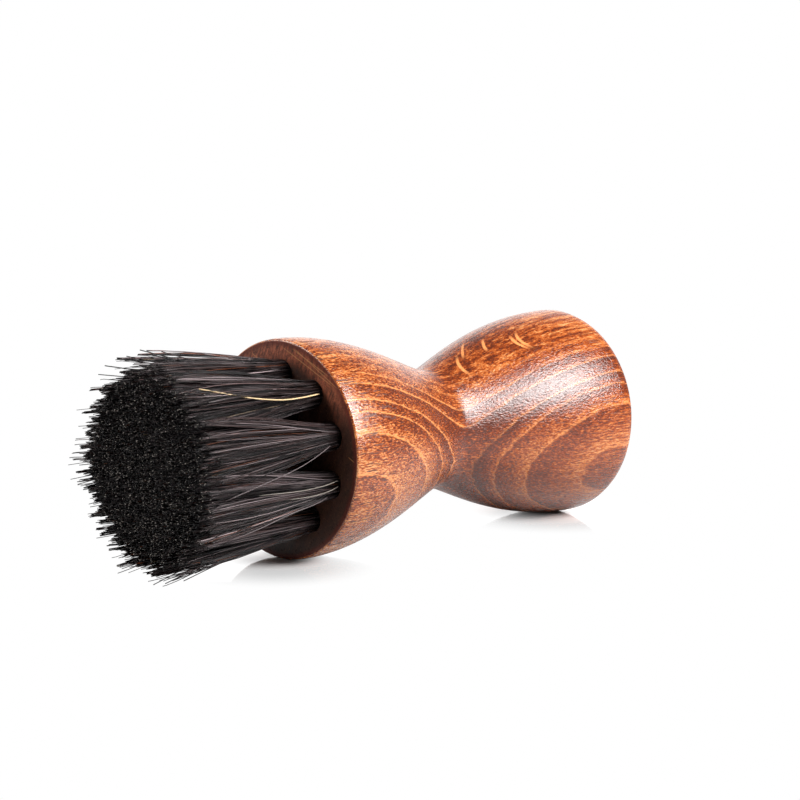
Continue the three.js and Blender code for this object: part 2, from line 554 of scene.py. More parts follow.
    def material(self, axis_height: float, face_x: float) -> bpy.types.Material:
        """Builds the finish for a handle that lies along X.

        Args:
            axis_height: Height of the turning axis.
            face_x: Place of the head's face along X.

        Returns:
            The material.
        """
        sheet = NodeSheet.finish("stained_beech")
        wood = self.point(sheet, axis_height, face_x)
        rim = sheet.band(wood.along, *self.dash_zone)
        dashes = sheet.band(self.dash.draw(sheet, wood.place), *self.dash_edge)
        dashes = sheet.product(dashes, sheet.total(self.dash_share, (rim, 0.0, self.rim_dashes)))
        flecks = sheet.product(self.bare_rays(sheet, wood), sheet.band(wood.fibre, *self.fleck_breaks))
        colour = sheet.layer(
            self.growth(sheet, wood, self.ground(sheet, wood)),
            (dashes, self.pore),
            (flecks, self.line),
            (sheet.product(wood.ends, self.end_share), self.end_cut(sheet, wood)),
        )
        relief = sheet.total(
            0.0,
            (wood.mottle, 0.0, 1.0),
            (wood.fibre, 0.0, self.grain_relief),
            (wood.speck, 0.0, self.grain_relief),
        )
        relief = sheet.product(relief, sheet.band(wood.ends, *self.end_relief))
        bumps = sheet.bumps(relief, self.bump_strength, self.bump_depth)
        rough = sheet.total(
            self.lacquer_rough,
            (wood.fibre, 0.5, self.fibre_rough),
            (dashes, 0.0, self.dull_rough),
            (wood.ends, 0.0, self.dull_rough),
        )
        shader = sheet.node("ShaderNodeBsdfPrincipled", Base_Color=colour, Roughness=rough, Normal=bumps)
        shader.inputs["Specular IOR Level"].default_value = self.specular
        return sheet.shade(shader)

    def point(self, sheet: NodeSheet, axis_height: float, face_x: float) -> WoodPoint:
        """Works out where the surface lies in the wood.

        Args:
            sheet: The material's nodes.
            axis_height: Height of the turning axis.
            face_x: Place of the head's face along X.

        Returns:
            The point's sockets.
        """
        turn = self.ring_angle
        mapped = sheet.node("ShaderNodeMapping", Vector=sheet.place())
        mapped.inputs["Rotation"].default_value = (-turn, 0.0, 0.0)
        mapped.inputs["Scale"].default_value = (1 / MM,) * 3
        mapped.inputs["Location"].default_value = (
            -face_x,
            -axis_height * math.sin(turn),
            -axis_height * math.cos(turn),
        )
        grain = sheet.split(mapped.outputs[0])
        fibre, speck, mottle = (noise.draw(sheet, grain) for noise in (self.fibre, self.speck, self.mottle))
        span = sheet.length(sheet.math("ADD", grain[1], self.pith_distance), grain[2])
        slant, quarter, ends = self.cut(sheet, span, *grain[1:])
        feather = sheet.product(sheet.math("SUBTRACT", fibre, 0.5), sheet.band(ends, 1.0, 0.0))
        ring = self.rings(sheet, span, feather, grain)
        return WoodPoint(*grain, fibre, speck, mottle, span, ring, slant, quarter, ends)

    def ground(self, sheet: NodeSheet, wood: WoodPoint) -> Socket:
        """Colours the wood between the growth lines.

        Args:
            sheet: The material's nodes.
            wood: The point in the wood.

        Returns:
            The colour socket.
        """
        weights = self.tone
        ring = sheet.math("SUBTRACT", sheet.curve(wood.ring, self.ring_tone), self.ring_middle)
        near, far = self.inner_rings
        inner = sheet.product(sheet.band(wood.across, *near), sheet.band(wood.across, *far))
        butt = sheet.band(wood.along, *self.butt_zone)
        streak = sheet.math("SUBTRACT", self.streak.draw(sheet, wood.place), 0.5)
        streaks = sheet.total(self.streak_share, (inner, 0.0, self.inner_streaks))
        head = sheet.band(wood.along, *self.head_zone)
        speck = sheet.math("SUBTRACT", wood.speck, 0.5)
        specks = sheet.total(self.speck_share, (head, 0.0, self.head_specks))
        middle, outside, inside = self.dark_rings
        tone = sheet.total(
            weights.base,
            (head, 0.0, weights.head),
            (sheet.band(wood.along, *self.rim_zone), 0.0, weights.rim),
            (sheet.product(ring, self.outer_rings(sheet, wood)), 0.0, weights.ring),
            (wood.fibre, 0.5, weights.fibre),
            (sheet.product(speck, specks), 0.0, weights.speck),
            (sheet.product(streak, streaks), 0.0, weights.streak),
            (self.patch.draw(sheet, wood.place), 0.5, weights.patch),
            (wood.quarter, 0.0, weights.quarter),
            (inner, 0.0, weights.inner),
            (sheet.product(inner, butt), 0.0, weights.inner_butt),
            (sheet.band(sheet.off(wood.across, middle), outside, inside), 0.0, weights.dark_rings),
        )
        return sheet.ramp(tone, list(zip(self.tone_stops, (self.dark, self.mid, self.pale, self.light))))

    def outer_rings(self, sheet: NodeSheet, wood: WoodPoint) -> Socket:
        """Tells the rings of the two flat-cut sides, which are the clearest, from the ones in the middle."""
        flat = sheet.math("ADD", *(sheet.band(wood.across, *side) for side in self.flat_rings))
        return sheet.total(self.middle_rings, (flat, 0.0, 1 - self.middle_rings))

    def growth(self, sheet: NodeSheet, wood: WoodPoint, colour: Socket) -> Socket:
        """Draws the pale growth lines, broken by the streaks and faded where the surface crosses the rings.

        Args:
            sheet: The material's nodes.
            wood: The point in the wood.
            colour: The colour between the lines.

        Returns:
            The colour socket.
        """
        past = sheet.math("DIVIDE", sheet.product(wood.ring, self.ring_width), wood.slant)
        ahead = sheet.math("SUBTRACT", sheet.math("DIVIDE", self.ring_width, wood.slant), past)
        from_hollow = sheet.band(sheet.off(wood.along, self.hollow), *self.hollow_zone)
        head = sheet.band(wood.along, *self.head_lines)
        share = sheet.product(
            sheet.math("MAXIMUM", sheet.band(past, *self.line_after), sheet.band(ahead, *self.line_before)),
            sheet.band(wood.fibre, *self.line_breaks),
            sheet.band(wood.quarter, *self.line_fade),
            self.outer_rings(sheet, wood),
            sheet.total(self.hollow_lines, (from_hollow, 0.0, 1 - self.hollow_lines)),
            sheet.total(self.line_share, (head, 0.0, self.head_line_gain)),
        )
        return sheet.mix(share, colour, self.line)

    def end_cut(self, sheet: NodeSheet, wood: WoodPoint) -> Socket:
        """Colours the end cuts: grain across the rings, a darker rim, fine scratches, and painted shade low
        on the face and among the tufts.

        Args:
            sheet: The material's nodes.
            wood: The point in the wood.

        Returns:
            The colour socket.
        """
        marks = self.end_marks.draw(sheet, (wood.span, wood.across, wood.side))
        marks = sheet.total(0.0, (marks, 0.0, 0.5), (wood.speck, 0.0, 0.5))
        cos, sin = math.cos(self.ring_angle), math.sin(self.ring_angle)
        height = sheet.total(0.0, (wood.across, 0.0, sin), (wood.side, 0.0, cos))
        from_axis = sheet.length(wood.across, wood.side)
        face = sheet.band(wood.along, *self.face_zone)
        butt = sheet.total(1.0, (face, 0.0, -1.0))
        # Painted shade: the face darkens towards its low side and near the axis, among the tufts.
        low = sheet.band(height, *self.painted_shade_height)
        painted_shade = sheet.math("MAXIMUM", low, sheet.band(from_axis, *self.painted_shade_reach))
        dust = self.dust_marks.draw(sheet, wood.place)
        return sheet.layer(
            self.end_grain,
            (sheet.band(marks, *self.end_contrast), self.end_pore_and_shade),
            (sheet.product(sheet.curve(wood.ring, self.late_wood), butt, self.late_share), self.end_rim),
            (sheet.product(painted_shade, face, self.painted_shade_share), self.end_pore_and_shade),
            (sheet.product(sheet.band(from_axis, *self.rim_stain), self.rim_share), self.end_rim),
            (sheet.product(sheet.band(dust, *self.dust_contrast), self.dust_share), self.dust),
            (sheet.product(self.scored(sheet, wood), face), self.light),
        )

    def scored(self, sheet: NodeSheet, wood: WoodPoint) -> Socket:
        """Draws the scratches.

        Args:
            sheet: The material's nodes.
            wood: The point in the wood.

        Returns:
            A socket that is 1 on a scratch and 0 elsewhere.
        """
        turn = Matrix.Rotation(-self.ring_angle, 2)
        shown = 0.0
        for scratch in self.scratches:
            start, end = turn @ Vector(scratch.start), turn @ Vector(scratch.end)
            middle, half = (start + end) / 2, (end - start).length / 2
            run = (end - start).normalized()
            normal = Vector((-run.y, run.x))
            past = sheet.total(-middle.dot(run), (wood.across, 0.0, run.x), (wood.side, 0.0, run.y))
            off = sheet.total(-middle.dot(normal), (wood.across, 0.0, normal.x), (wood.side, 0.0, normal.y))
            near = sheet.band(sheet.math("ABSOLUTE", off), self.scratch_width, 0.0)
            within = sheet.band(sheet.math("ABSOLUTE", past), half, half * self.scratch_ends)
            shown = sheet.math("MAXIMUM", shown, sheet.product(near, within))
        return shown

    def bare_rays(self, sheet: NodeSheet, wood: WoodPoint) -> Socket:
        """Draws the bright ray flecks.

        Args:
            sheet: The material's nodes.
            wood: The point in the wood.

        Returns:
            A socket that is 1 on a fleck and 0 elsewhere.
        """
        turn = sheet.math("DEGREES", sheet.math("ARCTAN2", wood.side, wood.across))
        shown = 0.0
        for fleck in self.flecks:
            past = sheet.math("SUBTRACT", turn, fleck.turn - math.degrees(self.ring_angle))
            course = sheet.total(
                fleck.along,
                (past, 0.0, fleck.lean),
                (sheet.product(past, past), 0.0, fleck.bow),
            )
            half = fleck.half_turn
            width = sheet.band(sheet.math("ABSOLUTE", past), half, half * self.fleck_ends)
            core = self.fleck_width * self.fleck_core
            near = sheet.band(sheet.off(course, wood.along), self.fleck_width, core)
            shown = sheet.math("MAXIMUM", shown, sheet.product(near, width))
        return shown

    def rings(self, sheet: NodeSheet, span: object, feather: object, grain: Sequence[object]) -> Socket:
        """Works out a point's place between two growth lines.

        Args:
            sheet: The material's nodes.
            span: Distance from the pith.
            feather: Fine streaks along the grain, about 0, which feather the lines.
            grain: Places along the grain, across the rings and along them.

        Returns:
            The place in its ring, from 0 to 1.
        """
        depth = sheet.total(
            -self.pith_distance,
            (span, 0.0, 1.0),
            (grain[0], self.handle_middle, self.ring_slope),
            (self.drift.draw(sheet, grain), 0.5, self.drift_reach),
            (self.wobble.draw(sheet, grain), 0.5, self.wobble_reach),
            (feather, 0.0, self.feather_reach),
        )
        lines = self.line_depths()
        low, reach = lines[0], lines[-1] - lines[0]
        place = sheet.total(-low / reach, (depth, 0.0, 1 / reach))
        steps = len(lines) - 1
        count = sheet.curve(place, [((line - low) / reach, i / steps) for i, line in enumerate(lines)])
        return sheet.math("FRACT", sheet.product(count, steps))

    def line_depths(self) -> list[float]:
        """Lists the growth lines, the one nearest to the pith first.

        Returns:
            Their distances from the turning axis.
        """
        first = min(self.growth_lines)
        count = int((first + self.blank_reach) / self.ring_width)
        hidden = [first - i * self.ring_width for i in range(1, count + 1)]
        return sorted([*hidden, *self.growth_lines])

    def cut(self, sheet: NodeSheet, span: object, across: object, side: object) -> tuple[Socket, ...]:
        """Works out how the surface cuts the wood.

        Args:
            sheet: The material's nodes.
            span: Distance from the pith.
            across: Place across the rings.
            side: Place along the rings.

        Returns:
            How fast it crosses the rings, how much it is cut across them, and how much it is an end cut.
        """
        geometry = sheet.tree.nodes.new("ShaderNodeNewGeometry")
        lengthwise, over, up = sheet.split(geometry.outputs["Normal"])
        cos, sin = math.cos(self.ring_angle), math.sin(self.ring_angle)
        outward = sheet.total(0.0, (over, 0.0, cos), (up, 0.0, sin))
        sideways = sheet.total(0.0, (up, 0.0, cos), (over, 0.0, -sin))
        reach = sheet.math("ADD", across, self.pith_distance)
        facing = sheet.math("MULTIPLY_ADD", outward, reach, sheet.product(sideways, side))
        facing = sheet.math("ABSOLUTE", sheet.math("DIVIDE", facing, span))
        rest = sheet.total(1.0, (sheet.product(facing, facing), 0.0, -1.0))
        slant = sheet.math("SQRT", sheet.math("MAXIMUM", rest, self.slant_floor))
        ends = sheet.band(sheet.math("ABSOLUTE", lengthwise), *self.end_facing)
        return slant, sheet.band(facing, *self.quarter_cut), ends


@dataclass(frozen=True)
class Horsehair:
    """Dark horsehair. Each hair's own colour is kept on the mesh."""

    attribute: str = "hair_colour"
    roughness: float = 0.3
    specular: float = 0.32

    def material(self) -> bpy.types.Material:
        """Builds the finish from the colour kept on each hair.

        Returns:
            The material.
        """
        sheet = NodeSheet.finish("horsehair")
        tone = sheet.tree.nodes.new("ShaderNodeAttribute")
        tone.attribute_name = self.attribute
        shader = sheet.node("ShaderNodeBsdfPrincipled", Base_Color=tone.outputs["Color"])
        shader.inputs["Roughness"].default_value = self.roughness
        shader.inputs["Specular IOR Level"].default_value = self.specular
        return sheet.shade(shader)


@dataclass(frozen=True)
class DrawnWire:
    """Bright drawn steel wire, with fine marks from the die and a little dulling."""

    bright: Colour = srgb(196, 194, 188)
    dull: Colour = srgb(140, 138, 134)
    mark_scale: float = 2600.0
    mark_layers: float = 3.0
    mark_edge: Span = (0.4, 0.65)
    roughness: float = 0.32
    bump_strength: float = 0.2
    bump_depth: float = 0.02

    def material(self) -> bpy.types.Material:
        """Builds the finish.

        Returns:
            The material.
        """
        sheet = NodeSheet.finish("drawn_wire")
        marks = sheet.noise(sheet.place(), self.mark_scale, self.mark_layers)
        colour = sheet.mix(sheet.band(marks, *self.mark_edge), self.bright, self.dull)
        bumps = sheet.bumps(marks, self.bump_strength, self.bump_depth)
        shader = sheet.node("ShaderNodeBsdfPrincipled", Base_Color=colour, Normal=bumps)
        shader.inputs["Roughness"].default_value = self.roughness
        shader.inputs["Metallic"].default_value = 1.0
        return sheet.shade(shader)


class Bench:
    """Blender's edit-mode tools, as applied to one piece at a time."""

    @staticmethod
    def clear() -> None:
        """Leaves edit mode and deselects everything."""
        if bpy.context.object and bpy.context.object.mode != "OBJECT":
            bpy.ops.object.mode_set(mode="OBJECT")
        bpy.ops.object.select_all(action="DESELECT")

    @staticmethod
    def take(piece: bpy.types.Object) -> None:
        """Makes a piece the only selected one, and the active one.

        Args:
            piece: The piece.
        """
        Bench.clear()
        piece.select_set(True)
        bpy.context.view_layer.objects.active = piece

    @staticmethod
    def settle(piece: bpy.types.Object) -> None:
        """Puts a piece's place and turn into its mesh, so that its object sits at the origin."""
        Bench.take(piece)
        bpy.ops.object.transform_apply(location=True, rotation=True, scale=True)

    @staticmethod
    def apply_all(piece: bpy.types.Object) -> None:
        """Applies every modifier of a piece, in order.

        Args:
            piece: The piece.
        """
        Bench.take(piece)
        for modifier in [m.name for m in piece.modifiers]:
            bpy.ops.object.modifier_apply(modifier=modifier)


class Ring(Enum):
    """The two rings of tufts."""

    OUTER = "outer"
    INNER = "inner"


@dataclass(frozen=True)
class Seat:
    """One drilled hole of the head, with the tuft that fills it.

    Attributes:
        ring: The ring it belongs to.
        number: Its number in the ring, from 1.
        angle: Its place round the axis, from +Y towards +Z.
        radius: Its distance from the axis.
        reach: Nearest and farthest distance of its hair tips from the axis.
        sector: Half the angle that its hair tips fill.
    """

    ring: Ring
    number: int
    angle: float
    radius: float
    reach: Span
    sector: float

    def node(self, what: str) -> str:
        """Names the CAD node of this seat's tuft or staple."""
        return f"{self.ring.value}_{what}_{self.number:02d}"


@dataclass
class BrushPlan:
    """Sizes shared by the handle and the tufts, as in the CAD source."""

    handle_length: float = 74.4
    swell_radius: float = 20.0
    butt_swell_height: float = 1.5
    head_swell_depth: float = 1.6
    turn_sides: int = 32
    bristle_length: float = 31.0
    hole_radius: float = 2.5
    hole_depth: float = 12.0
    outer_tufts: int = 10
    inner_tufts: int = 5
    outer_ring: float = 13.9
    inner_ring: float = 6.2
    first_angle: float = math.radians(92.0)
    tip_radius: float = 17.2
    tip_split: float = 9.6

    @property
    def axis_height(self) -> float:
        """Height of the turning axis above the table."""
        return self.swell_radius * math.cos(math.pi / self.turn_sides)

    @property
    def face_x(self) -> float:
        """Place of the head's face along X."""
        return self.bristle_length - (self.handle_length + self.bristle_length) / 2

    def ring_seats(self, ring: Ring, count: int, radius: float, reach: Span, shift: float) -> list[Seat]:
        """Lists the drilled holes of one ring.

        Args:
            ring: The ring.
            count: How many holes it has.
            radius: Their distance from the axis.
            reach: Nearest and farthest distance of the hair tips from the axis.
            shift: How far the first hole is turned from the first angle.

        Returns:
            The seats, in order.
        """
        step = 2 * math.pi / count
        first = self.first_angle + shift
        return [Seat(ring, i + 1, first + i * step, radius, reach, step / 2) for i in range(count)]

    def seats(self) -> list[Seat]:
        """Lists all the drilled holes.

        Returns:
            The seats, the outer ring's first.
        """
        outer_tips, inner_tips = (self.tip_split, self.tip_radius), (0.0, self.tip_split)
        half_step = math.pi / self.outer_tufts
        outer = self.ring_seats(Ring.OUTER, self.outer_tufts, self.outer_ring, outer_tips, 0.0)
        inner = self.ring_seats(Ring.INNER, self.inner_tufts, self.inner_ring, inner_tips, half_step)
        return outer + inner


@dataclass
class TurnedHandle:
    """The handle: a beech blank turned to two swells and a waist, with drilled holes in its head."""

    plan: BrushPlan
    waist_radius: float = 11.3
    waist_height: float = 38.0
    butt_fullness: float = 18.7
    head_fullness: float = 15.6
    waist_softness: float = 5.5
    butt_tuck: float = 0.3
    head_tuck: float = 0.1
    butt_edge: float = 0.8
    rim_edge: float = 0.5
    swell_steps: int = 40
    edge_steps: int = 6
    edge_ring: float = 0.4
    turn_steps: int = 160
    weld: float = 0.001
    crease: float = math.radians(35)
    hole_sides: int = 32
    drill_lead: float = 2.0
    finish: StainedBeech = field(default_factory=StainedBeech)

    def outline(self) -> list[tuple[float, float]]:
        """Draws the outline from the middle of the butt to the middle of the face.

        Returns:
            Heights above the butt and radii, in order.
        """
        plan = self.plan
        swell = plan.swell_radius
        butt_swell = plan.butt_swell_height
        head_swell = plan.handle_length - plan.head_swell_depth
        waist = (self.waist_height, self.waist_radius)

        def swing(height: float, radius: float, edge: float, start: float) -> list[tuple[float, float]]:
            """A quarter round about a corner's centre."""
            turns = [math.radians(start + 90 * i / self.edge_steps) for i in range(self.edge_steps + 1)]
            return [(height + edge * math.sin(a), radius + edge * math.cos(a)) for a in turns]

        def bezier(*points: tuple[float, float]) -> list[tuple[float, float]]:
            """A cubic curve.

            Args:
                *points: Its two end points, with their two handles between.

            Returns:
                Points along it, in order.
            """
            drawn = []
            for i in range(self.swell_steps + 1):
                t = i / self.swell_steps
                weights = ((1 - t) ** 3, 3 * t * (1 - t) ** 2, 3 * t * t * (1 - t), t**3)
                drawn.append(tuple(sum(w * p[k] for w, p in zip(weights, points)) for k in (0, 1)))
            return drawn

        butt_corner = swing(self.butt_edge, swell - self.butt_tuck - self.butt_edge, self.butt_edge, -90)
        butt = bezier(
            (butt_swell, swell),
            (butt_swell + self.butt_fullness, swell),
            (self.waist_height - self.waist_softness, self.waist_radius),
            waist,
        )
        head = bezier(
            waist,
            (self.waist_height + self.waist_softness, self.waist_radius),
            (head_swell - self.head_fullness, swell),
            (head_swell, swell),
        )
        rim_radius = swell - self.head_tuck - self.rim_edge
        rim = swing(plan.handle_length - self.rim_edge, rim_radius, self.rim_edge, 0)
        butt_face = [(0.0, radius) for radius in (0.0, swell / 2, butt_corner[0][1] - self.edge_ring)]
        head_face = [(plan.handle_length, radius) for radius in (rim[-1][1] - self.edge_ring, swell / 2, 0.0)]
        return butt_face + butt_corner + butt + head[1:] + rim + head_face

    def turn(self) -> bpy.types.Object:
        """Turns the blank: the outline is drawn point by point and spun round the axis.

        Returns:
            The turned piece, without its holes.
        """
        plan = self.plan
        butt_x = plan.face_x + plan.handle_length
        points = [
            Vector(((butt_x - height) * MM, 0.0, (plan.axis_height + radius) * MM))
            for height, radius in self.outline()
        ]
        Bench.clear()
        bpy.ops.mesh.primitive_plane_add(size=MM, location=(0, 0, 0))
        piece = bpy.context.object
        piece.name = piece.data.name = "turned_handle"
        bpy.ops.object.mode_set(mode="EDIT")
        bpy.ops.mesh.merge(type="CENTER")
        bpy.ops.transform.translate(value=points[0])
        for last, here in zip(points, points[1:]):
            bpy.ops.mesh.extrude_region_move(TRANSFORM_OT_translate={"value": here - last})
        bpy.ops.mesh.select_all(action="SELECT")
        bpy.ops.mesh.spin(
            steps=self.turn_steps,
            angle=2 * math.pi,
            center=(0.0, 0.0, plan.axis_height * MM),
            axis=(1.0, 0.0, 0.0),
        )
        bpy.ops.mesh.select_all(action="SELECT")
        bpy.ops.mesh.remove_doubles(threshold=self.weld * MM)
        bpy.ops.mesh.normals_make_consistent(inside=False)
        bpy.ops.object.mode_set(mode="OBJECT")
        return piece

    def drill(self, piece: bpy.types.Object, seats: Iterable[Seat]) -> None:
        """Drills the tuft holes into the head.

        Args:
            piece: The turned piece.
            seats: The holes to drill.
        """
        plan = self.plan
        cutters = []
        for seat in seats:
            Bench.clear()
            length = plan.hole_depth + self.drill_lead
            bpy.ops.mesh.primitive_cylinder_add(
                vertices=self.hole_sides,
                radius=plan.hole_radius * MM,
                depth=length * MM,
                location=(
                    (plan.face_x + plan.hole_depth - length / 2) * MM,
                    seat.radius * math.cos(seat.angle) * MM,
                    (plan.axis_height + seat.radius * math.sin(seat.angle)) * MM,
                ),
                rotation=(0.0, math.pi / 2, 0.0),
            )
            cutters.append(bpy.context.object)
        Bench.take(cutters[0])
        for cutter in cutters:
            cutter.select_set(True)
        bpy.ops.object.join()
        drill = bpy.context.object
        Bench.settle(drill)
        cut = piece.modifiers.new("drill", "BOOLEAN")
        cut.operation = "DIFFERENCE"
        cut.solver = "EXACT"
        cut.object = drill
        Bench.apply_all(piece)
        bpy.data.objects.remove(drill, do_unlink=True)

    def build(self, seats: Sequence[Seat]) -> bpy.types.Object:
        """Makes and dresses the handle.

        Args:
            seats: The holes of its head.

        Returns:
            The finished handle.
        """
        piece = self.turn()
        self.drill(piece, seats)
        Bench.take(piece)
        bpy.ops.object.shade_smooth_by_angle(angle=self.crease)
        piece.data.materials.clear()
        piece.data.materials.append(self.finish.material(self.plan.axis_height, self.plan.face_x))
        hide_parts("handle")
        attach(piece, BODY)
        return piece


class Hair(Enum):
    """Kinds of hair in a tuft, each with its colour and its share of the hairs."""

    BLACK = (srgb(20, 16, 17), 0.46)
    BROWN_BLACK = (srgb(67, 52, 51), 0.31)
    GREY_BLACK = (srgb(114, 102, 103), 0.23)
    AUBURN = (srgb(118, 66, 42), 0.02)
    PALE = (srgb(150, 132, 108), 0.003)
    GOLDEN = (srgb(234, 204, 156), 0.0)
    SILVER = (srgb(150, 142, 132), 0.0)


@dataclass(frozen=True)
class LooseHair:
    """One hair that lies over the others on the near side.

    Attributes:
        tuft: Number of the outer tuft that it grows from.
        kind: What kind of hair it is.
        thickness: Its thickness, as a share of the other hairs'.
        route: Points as distance out from the face, degrees round the axis and distance from the axis.
    """

    tuft: int
    kind: Hair
    thickness: float
    route: tuple[tuple[float, float, float], ...]


LOOSE_HAIRS = (
    LooseHair(2, Hair.GOLDEN, 2.1, ((2, 136, 16.3), (12.3, 140.3, 18.1), (18, 139, 18.8), (29.2, 129, 19.1))),
    LooseHair(4, Hair.SILVER, 1.2, ((1, 193.2, 16.2), (5.4, 192.7, 17.5), (10.2, 192.7, 18), (20, 193, 17))),
    LooseHair(
        4, Hair.SILVER, 1.1, ((0.7, 196.6, 16.3), (3.5, 196.9, 17.3), (7.1, 197.5, 17.7), (15, 199, 16.8))
    ),
    LooseHair(
        3, Hair.GREY_BLACK, 1.2, ((3.4, 171, 16.2), (11.4, 178.7, 18), (21, 184.8, 18.7), (29.2, 190.2, 18.9))
    ),
    LooseHair(
        4, Hair.GREY_BLACK, 1.2, ((2, 203, 16), (13.6, 206.7, 18.2), (19.9, 211.6, 18.7), (26.3, 216, 18.9))
    ),
    LooseHair(1, Hair.BLACK, 1.5, ((2, 92, 16.2), (14, 90, 17.1), (24, 90, 18.5), (32.6, 92, 20.8))),
    LooseHair(1, Hair.BLACK, 1.5, ((2, 94, 16.2), (14, 95, 17.1), (24, 94, 18.3), (31.5, 93, 20.1))),
    LooseHair(1, Hair.BLACK, 1.3, ((2, 89, 16.2), (14, 86, 17), (24, 87, 17.7), (30.4, 91, 19.4))),
    LooseHair(1, Hair.BROWN_BLACK, 1.4, ((2, 91, 16.2), (14, 93, 17.2), (22, 95, 18.4), (28.2, 93, 20.2))),
    LooseHair(1, Hair.BLACK, 1.6, ((2, 88, 16.2), (14, 83, 16.9), (24, 79, 17.5), (32.2, 76, 19.3))),
    LooseHair(1, Hair.BLACK, 1.3, ((2, 90, 16.2), (14, 86, 16.8), (24, 80, 17.6), (30.6, 74, 19.8))),
    LooseHair(10, Hair.BLACK, 1.5, ((2, 57, 16.2), (14, 60, 16.8), (24, 62, 17.7), (32.4, 62, 19.5))),
    LooseHair(10, Hair.BLACK, 1.3, ((2, 55, 16.2), (14, 54, 17), (24, 52, 18.1), (31, 50, 19.9))),
    LooseHair(5, Hair.BLACK, 1.5, ((2, 238, 16.2), (14, 243, 16.8), (24, 247, 18), (32.7, 250, 19.8))),
    LooseHair(5, Hair.BROWN_BLACK, 1.4, ((2, 236, 16.2), (12, 242, 17), (20, 247, 18.1), (28.4, 251, 19.9))),
    LooseHair(5, Hair.BLACK, 1.4, ((2, 234, 16.2), (14, 237, 17.1), (24, 239, 18.1), (31.6, 240, 20.1))),
    LooseHair(6, Hair.BLACK, 1.4, ((2, 270, 16.2), (14, 267, 16.8), (24, 264, 18), (32, 262, 19.7))),
    LooseHair(4, Hair.BLACK, 1.3, ((2, 202, 16.2), (14, 206, 16.8), (24, 209, 17.7), (32, 211, 19.8))),
)


class HairPattern:
    """One straight hair of unit length and thickness, which every hair of a tuft copies."""

    TAPER_FROM = 0.7

    def __init__(self, rings: Sequence[float], sides: int = 3) -> None:
        """Models the hair along +X.

        Args:
            rings: Places of its rings from root, 0, to tip, 1.
            sides: How many sides it has.
        """
        self.rings = np.array(rings)
        Bench.clear()
        bpy.ops.mesh.primitive_circle_add(
            vertices=sides, radius=1.0, fill_type="NGON", rotation=(0.0, math.pi / 2, 0.0)
        )
        hair = bpy.context.object
        Bench.settle(hair)
        bpy.ops.object.mode_set(mode="EDIT")
        bpy.ops.mesh.select_all(action="SELECT")
        for step in np.diff(self.rings):
            bpy.ops.mesh.extrude_region_move(TRANSFORM_OT_translate={"value": (step, 0.0, 0.0)})
        bpy.ops.mesh.select_all(action="SELECT")
        bpy.ops.mesh.normals_make_consistent(inside=False)
        bpy.ops.object.mode_set(mode="OBJECT")
        self.points = np.array([v.co for v in hair.data.vertices])
        self.faces = [tuple(p.vertices) for p in hair.data.polygons]
        self.ring_of = np.abs(self.points[:, :1] - self.rings[None]).argmin(1)
        bpy.data.objects.remove(hair, do_unlink=True)

    def sweep(self, paths: np.ndarray, radius: np.ndarray, taper: float) -> np.ndarray:
        """Lays a copy of the hair along each path.

        Args:
            paths: Points by hair and ring.
            radius: Half the thickness by hair.
            taper: How thin the tip is, as a share of the rest.

        Returns:
            Vertices by hair.
        """
        ahead = np.gradient(paths, axis=1)
        ahead /= np.linalg.norm(ahead, axis=2, keepdims=True)
        first = np.cross(ahead, np.array([0.0, 0.0, 1.0]))
        first /= np.linalg.norm(first, axis=2, keepdims=True)
        second = np.cross(ahead, first)
        ring, shape = self.ring_of, self.points
        around = shape[None, :, 1, None] * first[:, ring] + shape[None, :, 2, None] * second[:, ring]
        width = radius[:, None] * np.interp(self.rings, (self.TAPER_FROM, 1.0), (1.0, taper))
        return paths[:, ring] + width[:, ring, None] * around


